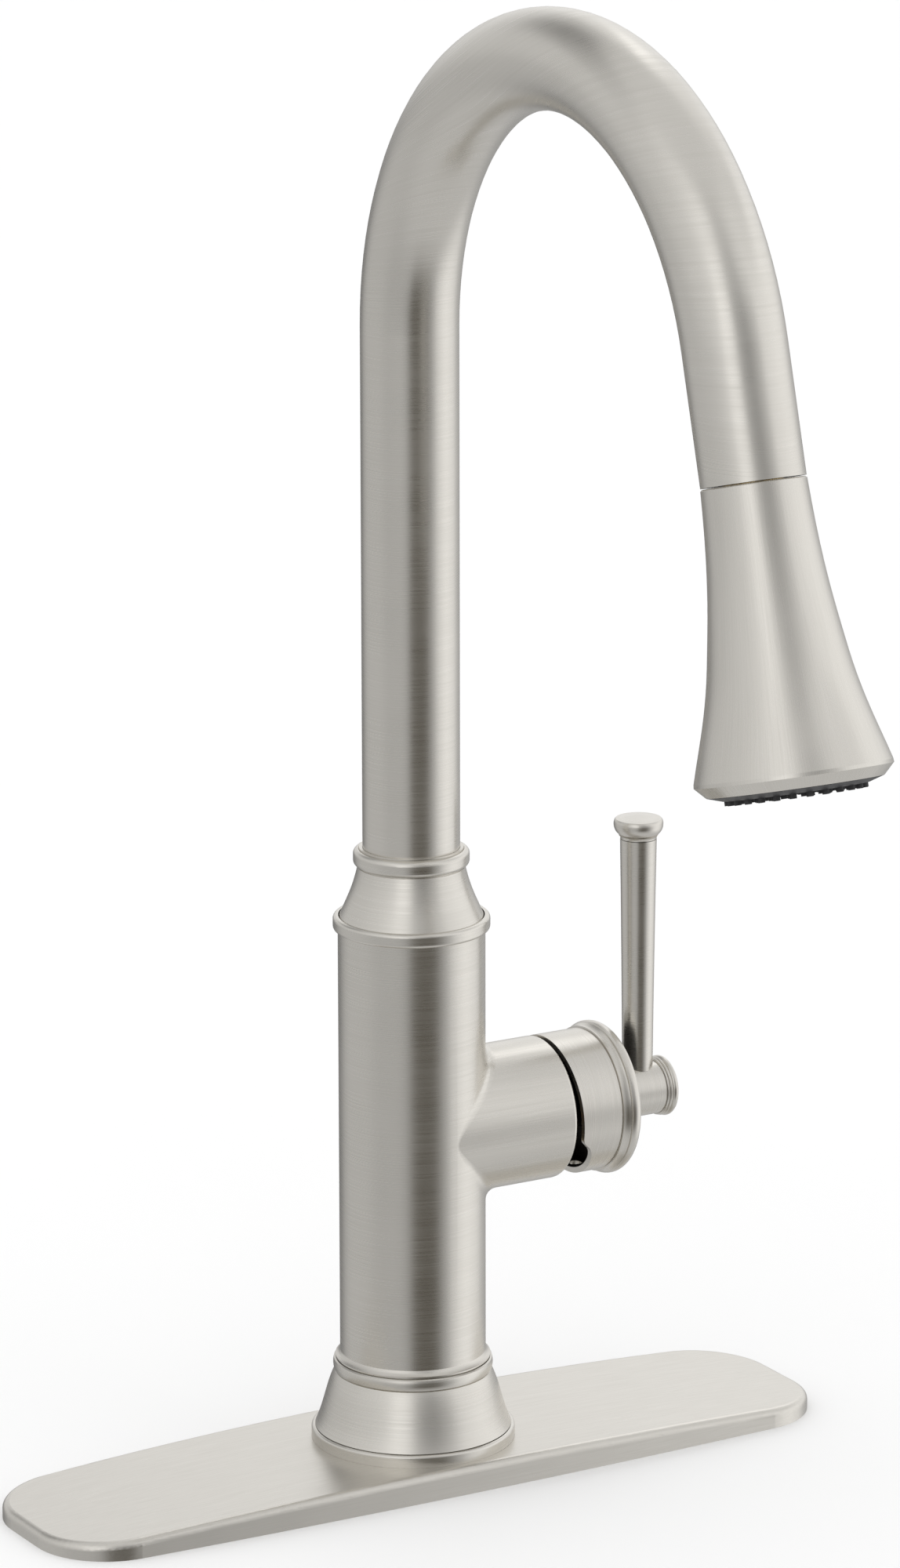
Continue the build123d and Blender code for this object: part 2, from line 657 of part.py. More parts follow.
# ---------------------------------------------------------------- handle
skirt_bore = skirt_radius - skirt_wall
skirt_stock = skirt_rim_top - 1
band_start = (band_radii[0], flange_wall_start)
band_tip = (band_radii[1], band_end)
bead_foot = (flange_radius - flange_crease, flange_start)
bead_end = (flange_radius - 2 * flange_crease, flange_bead_end)
spigot_hole = stub_spigot_radius + seat_gap
spigot_floor = flange_face - stub_spigot_depth
hub = turned(
    *lines((0, boss_start), (boss_radius, boss_start), (boss_radius, flange_wall_start),
           (skirt_bore, flange_wall_start), (skirt_bore, skirt_stock), (skirt_radius, skirt_stock),
           (skirt_radius, skirt_end), (skirt_radius - flange_crease, (skirt_end + flange_wall_start) / 2),
           band_start),
    ThreePointArc(band_start, (band_radii[0] + 0.2, (flange_wall_start + band_end) / 2), band_tip),
    *lines(band_tip, (band_radii[1] - flange_crease, (band_end + flange_start) / 2), bead_foot),
    ThreePointArc(bead_foot, (flange_radius, (flange_start + flange_bead_end) / 2), bead_end),
    ThreePointArc(bead_end, (0.65 * flange_radius, (flange_bead_end + 2 * flange_face) / 3),
                  (stub_radius, flange_face)),
    *lines((stub_radius, flange_face), (spigot_hole, flange_face), (spigot_hole, spigot_floor),
           (0, spigot_floor), (0, boss_start)),
)
stem_hole = stem_width + 2 * seat_gap
stem_depth = stem_front - boss_start + 2 * seat_gap
hub = hub - Pos(0, 0, (boss_start + stem_front) / 2) * Box(stem_hole, stem_hole, stem_depth)
cut_reach = skirt_radius + 3
cut_back = skirt_rim_top - 5
downward = (0.1, -1)
rim = Wire(
    Polyline((relief_end, -cut_reach), (cut_back, -cut_reach), (cut_back, cut_reach),
             (skirt_rim_top, cut_reach), (skirt_rim_top, skirt_radius), (skirt_rim_side, relief_start)).edges()
    + [Spline((skirt_rim_side, relief_start), relief_bend, relief_low, (relief_end, -skirt_radius),
              tangents=[downward, downward]),
       Line((relief_end, -skirt_radius), (relief_end, -cut_reach))]
)
side_view = Plane(origin=(stem_pivot, 0, branch_height), x_dir=(1, 0, 0), z_dir=(0, -1, 0))
handle_hub = PIVOT * hub - extrude(side_view * make_face(rim), cut_reach, both=True)
stem_flat = branch_height - stem_width / 2
screw_x = stem_pivot + set_screw_distance
handle_hub = handle_hub - rod(set_screw_radius + seat_gap, branch_height - cut_reach, stem_flat, screw_x)
save("handle_hub", handle_hub)

screw_low = branch_height - boss_radius
set_screw = rod(set_screw_radius, screw_low + groove, stem_flat, screw_x)
socket = hexagon(set_screw_radius, screw_low, screw_low + set_screw_socket, screw_x)
save("handle_set_screw", set_screw - socket)

stub = polygon_turned(
    (0, spigot_floor), (stub_spigot_radius, spigot_floor), (stub_spigot_radius, flange_face),
    (stub_radius, flange_face), (stub_radius, stub_end), (spigot_hole, stub_end),
    (spigot_hole, stub_end - end_ring_spigot), (0, stub_end - end_ring_spigot))
stub_top = branch_height + stub_radius
lever_x = stem_pivot + lever_distance
lever_hole = stub_top - lever_spigot_depth
handle_stub = PIVOT * stub - rod(lever_spigot_radius + seat_gap, lever_hole, stub_top + 1, lever_x)
save("handle_stub", handle_stub)

end_waist = stub_radius - seat_gap
first_bead = stub_end + 2 * seat_gap
second_bead = first_bead + end_bead_pitch
cap_edge = (end_ring_radius - end_cap_round, end_ring_end - flange_crease)
end_ring = turned(
    *lines((0, stub_end - end_ring_spigot), (stub_spigot_radius, stub_end - end_ring_spigot),
           (stub_spigot_radius, stub_end), (end_waist, stub_end), (end_waist, first_bead)),
    ThreePointArc((end_waist, first_bead), (end_bead_radius - 0.1, first_bead + end_bead_pitch / 2),
                  (end_waist + 0.3, second_bead)),
    ThreePointArc((end_waist + 0.3, second_bead), (end_bead_radius + 0.1, second_bead + end_bead_pitch / 2),
                  (end_waist + 0.5, end_cap_start)),
    ThreePointArc((end_waist + 0.5, end_cap_start), (end_ring_radius, (end_cap_start + end_ring_end) / 2),
                  cap_edge),
    dome(cap_edge[0], cap_edge[1], end_ring_end),
    Line((0, end_ring_end), (0, stub_end - end_ring_spigot)),
)
save("stub_end_ring", PIVOT * end_ring)

rod_middle = (stub_top + lever_top) / 2
waist_radius = (lever_foot_radius + lever_top_radius) / 2 - lever_waist
knob_floor = lever_top - knob_spigot_depth
lever_socket = lever_spigot_radius + seat_gap
lever = turned(
    *lines((0, branch_height), (lever_foot_radius, branch_height), (lever_foot_radius, stub_top)),
    ThreePointArc((lever_foot_radius, stub_top), (waist_radius, rod_middle), (lever_top_radius, lever_top)),
    *lines((lever_top_radius, lever_top), (lever_socket, lever_top), (lever_socket, knob_floor),
           (0, knob_floor), (0, branch_height)),
)
lever_rod = Pos(lever_x, 0, 0) * lever - PIVOT * rod(stub_radius + seat_gap / 2, spigot_floor, end_ring_end)
lever_rod = lever_rod + rod(lever_spigot_radius, lever_hole + seat_gap, stub_top + 2, lever_x)
save("lever_rod", lever_rod)


def over_lever(point):
    """A point of the knob's outline, whose height is given from the top of the lever."""
    return point[0], lever_top + point[1]


knob_edge = knob_bulb[-1][0]
knob = turned(
    *lines((0, knob_floor + seat_gap), (lever_spigot_radius, knob_floor + seat_gap),
           (lever_spigot_radius, lever_top), (knob_collar[0][0] - groove, lever_top),
           over_lever(knob_collar[0])),
    Spline(*[over_lever(point) for point in knob_collar]),
    *lines(over_lever(knob_collar[-1]), over_lever(knob_crease), over_lever(knob_bulb[0])),
    Spline(*[over_lever(point) for point in knob_bulb]),
    dome(knob_edge, lever_top + knob_bulb[-1][1], lever_top + knob_height),
    Line((0, lever_top + knob_height), (0, knob_floor + seat_gap)),
)
save("lever_knob", Pos(lever_x, 0, 0) * knob)

# ---------------------------------------------------------------- swivel
collar_bottom = recess_floor + thrust_washer_thickness + clear_gap
save("thrust_washer", pipe(recess_radius - clear_gap, column_bore, recess_floor,
                           recess_floor + thrust_washer_thickness))
spigot_seat = spigot_radius + seat_gap
spigot_top = collar_seat_top + spigot_rise
spigot_bottom = spigot_top - spigot_length
cone = [(collar_top_radius + share * (collar_seat_radius - collar_top_radius), collar_seat_top + rise)
        for share, rise in collar_cone]
spout_collar = turned(
    *lines((spigot_seat, collar_bottom), (collar_seat_radius, collar_bottom),
           (collar_seat_radius, collar_seat_top)),
    Spline((collar_seat_radius, collar_seat_top), *cone, (collar_top_radius, collar_top)),
    *lines((collar_top_radius, collar_top), (tube_seat, collar_top), (tube_seat, spigot_top),
           (spigot_seat, spigot_top), (spigot_seat, collar_bottom)),
)
save("spout_collar", spout_collar)

clip_low = spigot_bottom + clip_rise
clip_groove = clip_thickness + 2 * seat_gap
clip_bore = spigot_radius - clip_depth
lower_bush_z = spigot_bottom + lower_bush_rise
land_low = lower_bush_z + bush_length + clear_gap
land_high = lip_bottom - bush_length - clear_gap
land_radius = column_bore - land_depth
seal_inner = land_radius - swivel_groove_depth
seal_outer = column_bore - running_gap
seal_section = (seal_outer - seal_inner) / 2
seal_middle = (seal_outer + seal_inner) / 2
seal_pitch = 2 * seal_section + swivel_seal_gap
swivel_spigot = rod(spigot_radius, spigot_bottom, spigot_top) + rod(land_radius, land_low, land_high)
swivel_spigot = swivel_spigot - rod(tube_bore + 2 * seat_gap, spigot_bottom - 1, spigot_top + 1)
swivel_spigot = swivel_spigot - pipe(spigot_radius + 1, clip_bore - seat_gap, clip_low,
                                     clip_low + clip_groove)
swivel_seals = []
for number in (0, 1):
    seal_z = land_low + seal_section + swivel_seal_gap + number * seal_pitch
    swivel_spigot = swivel_spigot - torus(seal_middle, seal_section + seat_gap, seal_z)
    swivel_seals.append(torus(seal_middle, seal_section, seal_z))
save("swivel_spigot", swivel_spigot)
save("swivel_seals", Compound(children=swivel_seals))

bush_outer = column_bore - seat_gap
bush_inner = spigot_radius + running_gap
save("lower_bush", pipe(bush_outer, bush_inner, lower_bush_z, lower_bush_z + bush_length))
save("upper_bush", pipe(bush_outer, bush_inner, lip_bottom - bush_length, lip_bottom))
clip = pipe(clip_bore + clip_width, clip_bore, clip_low + seat_gap, clip_low + seat_gap + clip_thickness)
opening = Pos(0, spigot_radius, clip_low) * Box(clip_opening, clip_opening, clip_opening)
save("retaining_clip", clip - opening)

# ---------------------------------------------------------------- spout
ring_bottom = collar_top + ring_gap
ring_top = ring_bottom + ring_height
ring_shoulder = ring_radius - ring_round
ring_waist = collar_top_radius - groove
ring_lip_radius = tube_radius + ring_lip_proud
ring_lip_top = ring_top + ring_lip_height
spout_ring = turned(
    *lines((tube_seat, collar_top), (ring_waist, collar_top), (ring_waist, ring_bottom),
           (ring_shoulder, ring_bottom)),
    RadiusArc((ring_shoulder, ring_bottom), (ring_radius, ring_bottom + ring_round), -ring_round),
    Line((ring_radius, ring_bottom + ring_round), (ring_radius, ring_top - ring_round)),
    RadiusArc((ring_radius, ring_top - ring_round), (ring_shoulder, ring_top), -ring_round),
    *lines((ring_shoulder, ring_top), (ring_lip_radius, ring_top - groove / 2),
           (ring_lip_radius, ring_lip_top), (tube_seat, ring_lip_top), (tube_seat, collar_top)),
)
save("spout_ring", spout_ring)

tube_run = outlet_run - seam_gap / 2
spout_tube = gooseneck(tube_radius, spigot_top, tube_run)
spout_tube = spout_tube - gooseneck(tube_bore, spigot_top - 1, tube_run + 1)
save("spout_tube", spout_tube)

dock_low = -dock_length - seam_gap / 2
dock_top = -seam_gap / 2
dock_insert = pipe(tube_bore - seat_gap, dock_bore, dock_low, dock_top)
dock_insert = dock_insert - pipe(magnet_outer + seat_gap, magnet_inner - seat_gap, dock_top - magnet_height,
                                 dock_top + 1)
save("dock_insert", HEAD * dock_insert)
save("dock_magnet", HEAD * pipe(magnet_outer, magnet_inner, dock_top - magnet_height, dock_top))

# ---------------------------------------------------------------- pull-down hose
hose_turn = (recess_floor + collar_bottom) / 2
hose_in_spout = gooseneck(hose_radius, hose_turn + seam_gap / 2, hose_split_run)
save("hose_in_spout", hose_in_spout)
hose_shank_x = hose_radius + hose_wall_gap - shank_bore
hose_route = [(hose_shank_x, 0, -shank_length), (hose_shank_x, 0, hose_bend_low), (0, 0, hose_bend_high),
              (0, 0, hose_turn - seam_gap / 2)]
save("hose_in_body", bent_pipe(hose_radius, 0, hose_route, hose_bend_radius))
lead_start = hose_split_run - outlet_run + clear_gap
save("hose_lead", HEAD * rod(hose_radius, lead_start, -ferrule_above))
ferrule_end = ferrule_below + ferrule_nose_length
ferrule = rod(ferrule_radius, -ferrule_above, ferrule_below)
ferrule = ferrule + rod(ferrule_nose_radius, ferrule_below, ferrule_end)
ferrule = ferrule - rod(ferrule_bore, ferrule_blind - ferrule_above, ferrule_end + 1)
save("hose_ferrule", HEAD * ferrule)


# ---------------------------------------------------------------- spray head
def flare_radius(share):
    """The head's radius where it has flared by a share from its top to its lip."""
    return head_top_radius + share * (lip_radius - head_top_radius)


def bell(offset, start, end):
    """The spray head's outer form, made larger or smaller all round, between two lengths along its axis."""
    points = [(flare_radius(share) + offset, length) for share, length in head_profile]
    points.append((lip_radius + offset, lip_length))
    form = turned(
        *lines((0, -5), (points[0][0], -5), points[0]),
        Spline(*points[:-1]),
        *lines(points[-2], points[-1], (points[-1][0], lip_end + 5), (0, lip_end + 5), (0, -5)),
    )
    return form & rod(lip_radius + offset + 5, start, end)


head_top = seam_gap / 2
shell = bell(0, head_top, lip_end)
top_edge = shell.edges().filter_by(GeomType.CIRCLE).sort_by(Axis.Z)[0]
shell = chamfer(top_edge, head_chamfer)
shell = shell - polygon_turned(
    (lip_inner_radius, lip_end + 1), (lip_inner_radius, lip_end), (lip_radius, lip_length),
    (lip_radius + 2, lip_length), (lip_radius + 2, lip_end + 1))
shell = shell - bell(-head_wall, head_top_wall, face_start)
shell = shell - rod(face_radius + seat_gap, face_start - 1, lip_end + 1)
shell = shell - rod(dock_bore, -1, head_top_wall + 1)
magnet_end = head_top + head_magnet_height
shell = shell - pipe(magnet_outer + seat_gap, magnet_inner - seat_gap, -1, magnet_end)


def selector_prism(play):
    """A block over the back of the head that cuts out the selector or its window."""
    block = Box(selector_width + 2 * play, lip_radius * 2, selector_length + 2 * play)
    upright = block.edges().filter_by(Axis.Y)
    block = fillet(upright, selector_width / 2 - 0.2)
    return Pos(0, -lip_radius, selector_middle) * block


shell = shell - selector_prism(selector_play)
save("spray_shell", HEAD * shell)
save("head_magnet", HEAD * pipe(magnet_outer, magnet_inner, head_top, magnet_end))

before, after = [entry for entry in head_profile if abs(entry[1] - selector_middle) < 10]
middle_share = before[0] + (after[0] - before[0]) * (selector_middle - before[1]) / (after[1] - before[1])
selector_low = selector_middle - selector_length
selector_high = selector_middle + selector_length
selector = bell(selector_proud, selector_low, selector_high)
selector = selector - bell(-selector_thickness, selector_low, selector_high)
selector = selector & selector_prism(0)
pivot_y = selector_pin_depth - flare_radius(middle_share)
pin_line = Pos(0, pivot_y, selector_middle) * Rot(0, 90, 0)
lug_reach = selector_pin_depth - selector_thickness / 2
lug = pin_line * rod(lug_round, -lug_half_width, lug_half_width)
lug_place = Pos(0, pivot_y - lug_reach / 2, selector_middle)
lug = lug + lug_place * Box(2 * lug_half_width, lug_reach, 2 * ear_round)
ear_start = lug_half_width + clear_gap
pin_end = ear_start + ear_thickness
selector = selector + lug - pin_line * rod(selector_pin_radius + running_gap, -pin_end, pin_end)
save("selector_button", HEAD * selector)
save("selector_pin", HEAD * pin_line * rod(selector_pin_radius, -pin_end, pin_end))

core = polygon_turned(
    (ferrule_bore, core_start), (core_radius, core_start), (core_radius, core_flare_start),
    (core_plate_radius, core_plate_start), (core_plate_radius, core_plate_end),
    (core_plate_radius - core_rim, core_plate_end), (core_bore, core_flare_start + core_rim),
    (core_bore, core_start + core_step), (ferrule_bore, core_start + core_step))
core = core - rod(ferrule_nose_radius + running_gap, core_start - 1, ferrule_end + clear_gap)
core = core - rod(core_bore, ferrule_end, core_flare_start)
ear_root = core_radius - 1
ear_height = -pivot_y - ear_root
for side in (-1, 1):
    ear_x = side * (ear_start + ear_thickness / 2)
    ear_place = Pos(ear_x, -ear_root - ear_height / 2, selector_middle)
    ear = ear_place * Box(ear_thickness, ear_height, 2 * ear_round)
    tip = Rot(0, 90, 0) * rod(ear_round, -ear_thickness / 2, ear_thickness / 2)
    core = core + ear + Pos(ear_x, pivot_y, selector_middle) * tip
core = core - pin_line * rod(selector_pin_radius + seat_gap, -pin_end - 1, pin_end + 1)
save("spray_core", HEAD * core)
valve_end = check_valve_start + check_valve_length
save("check_valve", HEAD * pipe(core_bore - seat_gap, check_valve_bore, check_valve_start, valve_end))

mat_start = face_start - mat_thickness
save("core_seal", HEAD * pipe(core_plate_radius, core_plate_radius - core_rim, core_plate_end, mat_start))

face = polygon_turned((0, face_start), (face_radius, face_start), (face_radius, face_edge),
                      (face_flat_radius, face_end), (0, face_end))
face = face - rod(insert_radius + seat_gap, face_start - 1, face_end + 1)
mat = pipe(face_radius - mat_inset, insert_radius + insert_rim, mat_start, face_start)
for circle, count in nub_rings:
    for step in range(count):
        turn = Rot(0, 0, 360 * step / count)
        face = face - turn * rod(nub_radius + seat_gap, face_start - 1, face_end + 1, circle)
        mat = mat + turn * rod(nub_radius, mat_start, face_end + nub_proud, circle)
save("spray_face", HEAD * face)
save("nozzle_mat", HEAD * mat)

insert = rod(insert_radius, face_start, face_end + insert_proud)
insert = insert - rod(insert_radius - insert_rim, face_end - insert_rim, face_end + 1)
for circle, count in insert_holes:
    for step in range(count):
        turn = Rot(0, 0, 360 * step / count)
        insert = insert - turn * rod(insert_hole_radius, face_start - 1, face_end + 1, circle)
save("stream_insert", HEAD * insert)
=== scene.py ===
import json
import math

import bpy
from mathutils import Matrix, Vector


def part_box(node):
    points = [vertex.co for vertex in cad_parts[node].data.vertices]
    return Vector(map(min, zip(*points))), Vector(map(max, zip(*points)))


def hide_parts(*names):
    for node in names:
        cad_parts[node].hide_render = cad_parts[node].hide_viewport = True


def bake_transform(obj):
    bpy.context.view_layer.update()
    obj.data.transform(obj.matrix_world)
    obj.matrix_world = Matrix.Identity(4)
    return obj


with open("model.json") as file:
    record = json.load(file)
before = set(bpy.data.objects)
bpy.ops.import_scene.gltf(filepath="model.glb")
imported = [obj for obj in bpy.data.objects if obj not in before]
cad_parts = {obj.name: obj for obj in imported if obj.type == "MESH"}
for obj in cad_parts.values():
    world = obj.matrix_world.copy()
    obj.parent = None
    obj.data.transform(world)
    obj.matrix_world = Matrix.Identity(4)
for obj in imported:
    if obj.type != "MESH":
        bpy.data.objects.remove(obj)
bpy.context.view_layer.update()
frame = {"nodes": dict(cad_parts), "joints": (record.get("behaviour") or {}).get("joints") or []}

cad = frame["nodes"]
joint = {entry["name"]: entry for entry in frame["joints"]}

# ---------------------------------------------------------------- camera
# A long lens at arm's height, in front of the faucet and to its left, a little above the lever. It looks
# down by about 15 degrees, so that the top of the deck plate shows.
eye = Vector((-1.00605, -1.75496, 0.74319))
to_right = Vector((0.863364, -0.504579, -0.001239))
upward = Vector((0.129712, 0.219570, 0.966935))
lens_length = 164.94
sensor_width = 36.0
sideways_shift = -0.010785
upward_shift = -0.002125
farthest_view = 50.0

camera = bpy.data.objects.new("camera", bpy.data.cameras.new("camera"))
bpy.context.scene.collection.objects.link(camera)
bpy.context.scene.camera = camera
backward = to_right.cross(upward)
turn = Matrix((to_right, upward, backward)).transposed()
camera.matrix_world = Matrix.Translation(eye) @ turn.to_4x4()
camera.data.sensor_width = sensor_width
camera.data.lens = lens_length
camera.data.shift_x = sideways_shift
camera.data.shift_y = upward_shift
camera.data.clip_end = farthest_view
bpy.context.scene.view_settings.view_transform = "Standard"


# ---------------------------------------------------------------- studio light
# A white tent all round. On the camera's side a dark flag stands a little to the right, with a large soft
# box beyond it, so that each upright piece shows a dark band and then a bright one.
def link(tree, value, socket):
    """Feed a socket from another one, or set it to a plain value."""
    if isinstance(value, bpy.types.NodeSocket):
        tree.links.new(value, socket)
    else:
        socket.default_value = value


def calculate(tree, operation, *values):
    """One step of arithmetic in a node tree."""
    node = tree.nodes.new("ShaderNodeMath")
    node.operation = operation
    for value, socket in zip(values, node.inputs):
        link(tree, value, socket)
    return node.outputs[0]


def plus(tree, first, second):
    """The sum of two values."""
    return calculate(tree, "ADD", first, second)


def minus(tree, first, second):
    """The first value less the second."""
    return calculate(tree, "SUBTRACT", first, second)


def times(tree, first, second):
    """The product of two values."""
    return calculate(tree, "MULTIPLY", first, second)


def remap(tree, value, low, high, new_low=0.0, new_high=1.0, interpolation="LINEAR"):
    """A value carried from one range to another."""
    node = tree.nodes.new("ShaderNodeMapRange")
    node.interpolation_type = interpolation
    link(tree, value, node.inputs["Value"])
    for socket, number in zip(list(node.inputs)[1:5], (low, high, new_low, new_high)):
        socket.default_value = number
    return node.outputs[0]


def split(tree, vector):
    """The three parts of a vector."""
    node = tree.nodes.new("ShaderNodeSeparateXYZ")
    tree.links.new(vector, node.inputs[0])
    return node.outputs


def blend_colours(tree, factor, first, second):
    """A mix of two colours."""
    node = tree.nodes.new("ShaderNodeMix")
    node.data_type = "RGBA"
    link(tree, factor, node.inputs["Factor"])
    link(tree, first, node.inputs["A"])
    link(tree, second, node.inputs["B"])
    return node.outputs["Result"]


def opaque(colour):
    """A colour with its fourth channel."""
    return (*colour, 1.0)


tent = bpy.data.worlds.new("tent")
bpy.context.scene.world = tent
tent.use_nodes = True
tree = tent.node_tree
east, north, rise = split(tree, tree.nodes.new("ShaderNodeTexCoord").outputs["Generated"])
toward_x, toward_y = backward.xy.normalized()
ahead = plus(tree, times(tree, east, toward_x), times(tree, north, toward_y))
aside = plus(tree, times(tree, east, -toward_y), times(tree, north, toward_x))
bearing = remap(tree, calculate(tree, "ARCTAN2", aside, ahead), -math.pi, math.pi)
elevation = calculate(tree, "ARCSINE", rise)


def tent_ring(*stops):
    """One level of the tent: its brightness or colour at bearings in degrees to the right of the camera."""
    node = tree.nodes.new("ShaderNodeValToRGB")
    node.color_ramp.interpolation = "EASE"
    elements = node.color_ramp.elements
    while len(elements) < len(stops):
        elements.new(1.0)
    for element, (degrees, light) in zip(elements, stops):
        element.position = (degrees + 180) / 360
        element.color = opaque((light,) * 3 if isinstance(light, float) else light)
    link(tree, bearing, node.inputs[0])
    return node.outputs[0]


def above(low_degrees, high_degrees):
    """How far a direction has risen from one elevation to another, from 0 to 1."""
    low, high = math.radians(low_degrees), math.radians(high_degrees)
    return remap(tree, elevation, low, high, interpolation="SMOOTHSTEP")


flag = (0.095, 0.085, 0.068)
low_ring = tent_ring((-180, 0.42), (-164, 0.20), (-146, 0.26), (-132, 0.49), (-118, 0.60), (-80, 0.60),
                     (-48, 0.52), (-16, 0.50), (-6, 0.42), (4, flag), (36, flag), (54, 0.45), (72, 0.95),
                     (92, 1.15), (118, 1.0), (142, 0.55), (168, 0.40), (180, 0.42))
middle_ring = tent_ring((-180, 1.02), (-166, 0.90), (-140, 0.72), (-120, 0.68), (-100, 0.70), (-60, 0.78),
                        (-36, 0.86), (-20, 1.22), (-6, 1.15), (8, 0.42), (27, 0.32), (46, 0.56), (65, 1.0),
                        (110, 1.12), (150, 1.0), (180, 1.02))
high_ring = tent_ring((-180, 0.95), (-166, 0.60), (-148, 0.28), (-134, 0.26), (-124, 0.40), (-100, 0.62),
                      (-60, 0.84), (-22, 1.05), (-8, 1.0), (6, 0.6), (25, 0.55), (45, 0.8), (66, 0.90),
                      (80, 0.85), (112, 0.80), (150, 0.95), (168, 1.5), (180, 0.80))
floor_light = (0.66, 0.66, 0.66, 1.0)
roof_light = (0.74, 0.74, 0.74, 1.0)
plain_light = (1.1, 1.1, 1.1, 1.0)
levels = ((-48, -26, low_ring), (-8, 8, middle_ring), (22, 36, high_ring), (48, 62, roof_light))
studio = floor_light
for level_start, level_full, level in levels:
    studio = blend_colours(tree, above(level_start, level_full), studio, level)
ray = tree.nodes.new("ShaderNodeLightPath")
shown = blend_colours(tree, ray.outputs["Is Glossy Ray"], plain_light, studio)
link(tree, shown, tree.nodes["Background"].inputs["Color"])

# ---------------------------------------------------------------- sink deck
# The pale slab that the faucet is clamped to, running far past the view on every side. The opening of a
# basin in front of the faucet lets the pulled-out spray head pass, and the basin's wall hides the fittings.
deck_reach = 12.0
basin_depth = 0.40
basin_half_width = 0.50
basin_near = -1.50
basin_far = -0.225
deck_colour = (0.93, 0.93, 0.93)
deck_roughness = 0.6
deck_shine = 0.1


def mesh_piece(name, points, faces):
    """A new mesh object from its points and faces."""
    mesh = bpy.data.meshes.new(name)
    mesh.from_pydata([tuple(point) for point in points], [], faces)
    mesh.validate()
    piece = bpy.data.objects.new(name, mesh)
    bpy.context.scene.collection.objects.link(piece)
    return piece


def new_finish(name):
    """A material, its node tree and its shader."""
    finish = bpy.data.materials.new(name)
    finish.use_nodes = True
    return finish, finish.node_tree, finish.node_tree.nodes["Principled BSDF"]


outer = [(-deck_reach, -deck_reach), (deck_reach, -deck_reach), (deck_reach, deck_reach),
         (-deck_reach, deck_reach)]
basin = [(-basin_half_width, basin_near), (basin_half_width, basin_near), (basin_half_width, basin_far),
         (-basin_half_width, basin_far)]
deck_points = [(x, y, 0.0) for x, y in outer + basin] + [(x, y, -basin_depth) for x, y in basin[2:]]
around = [(corner, (corner + 1) % 4) for corner in range(4)]
deck_faces = [(a, b, b + 4, a + 4) for a, b in around] + [(6, 7, 9, 8)]
sink_deck = mesh_piece("sink_deck", deck_points, deck_faces)
pale, _, pale_shader = new_finish("pale_deck")
pale_shader.inputs["Base Color"].default_value = opaque(deck_colour)
pale_shader.inputs["Roughness"].default_value = deck_roughness
pale_shader.inputs["Specular IOR Level"].default_value = deck_shine
sink_deck.data.materials.append(pale)
sink_deck.visible_glossy = False

# ---------------------------------------------------------------- deck plate and its liner
# A drawn brass plate, nickel plated and finished in satin with belt lines that run lengthwise. The moulded
# liner snaps into its underside and rests on the sink.
nickel = ((0.66, 0.637, 0.590), (0.71, 0.686, 0.640))
belt_lines = (35.0, 1900.0, 1900.0)
belt_gloss = (0.27, 0.36)
metal_relief = 0.000015
grain_relief = 0.00002
mould_grain = (1500.0, 1500.0, 1500.0)
mould_spread = 0.06
mould_cloud = 90.0
hand_cloud = 45.0
tint_span = (0.3, 0.7)
gloss_span = (0.25, 0.75)
cloud_span = (0.35, 0.65)
cloud_tint = 0.2
cloud_wear = 0.02


def placed(tree, foot=(0, 0, 0), along=(0, 0, 1)):
    """The place on a piece in a frame whose Z runs along an axis of the piece."""
    coordinates = tree.nodes.new("ShaderNodeTexCoord")
    axes = tree.nodes.new("ShaderNodeMapping")
    axes.vector_type = "TEXTURE"
    axes.inputs["Location"].default_value = foot
    axes.inputs["Rotation"].default_value = Vector(along).to_track_quat("Z", "Y").to_euler()
    tree.links.new(coordinates.outputs["Object"], axes.inputs["Vector"])
    return axes.outputs[0]


def stretched(tree, vector, scale):
    """A vector times a scale on each axis."""
    node = tree.nodes.new("ShaderNodeVectorMath")
    node.operation = "MULTIPLY"
    tree.links.new(vector, node.inputs[0])
    node.inputs[1].default_value = scale
    return node.outputs[0]


def noise(tree, vector, scale=1.0, detail=4.0, roughness=0.65):
    """A noise texture's factor."""
    node = tree.nodes.new("ShaderNodeTexNoise")
    node.inputs["Scale"].default_value = scale
    node.inputs["Detail"].default_value = detail
    node.inputs["Roughness"].default_value = roughness
    tree.links.new(vector, node.inputs["Vector"])
    return node.outputs["Fac"]


def relief(tree, height, shader, depth):
    """Fine relief on a shader's normal, its depth in metres."""
    node = tree.nodes.new("ShaderNodeBump")
    node.inputs["Distance"].default_value = depth
    link(tree, height, node.inputs["Height"])
    tree.links.new(node.outputs["Normal"], shader.inputs["Normal"])


def worked(name, pattern_of, colours, gloss, metallic=1.0, depth=metal_relief, cloud=hand_cloud):
    """A finish whose colour, roughness and relief follow one fine pattern, over slow clouds of handling."""
    finish, tree, shader = new_finish(name)
    dark, light = colours
    smooth, rough = gloss
    pattern = pattern_of(tree)
    clouds = noise(tree, placed(tree), scale=cloud, detail=2.0, roughness=0.5)
    tint = plus(tree, remap(tree, pattern, *tint_span, 0.0, 1.0 - cloud_tint),
                remap(tree, clouds, *cloud_span, 0.0, cloud_tint))
    link(tree, blend_colours(tree, tint, opaque(dark), opaque(light)), shader.inputs["Base Color"])
    worn = remap(tree, clouds, *tint_span, -cloud_wear, cloud_wear)
    link(tree, plus(tree, remap(tree, pattern, *gloss_span, rough, smooth), worn), shader.inputs["Roughness"])
    shader.inputs["Metallic"].default_value = metallic
    relief(tree, pattern, shader, depth)
    return finish


def drawn(scale):
    """A pattern of fine lines that run along the axes with a small scale."""
    return lambda tree: noise(tree, stretched(tree, placed(tree), scale))


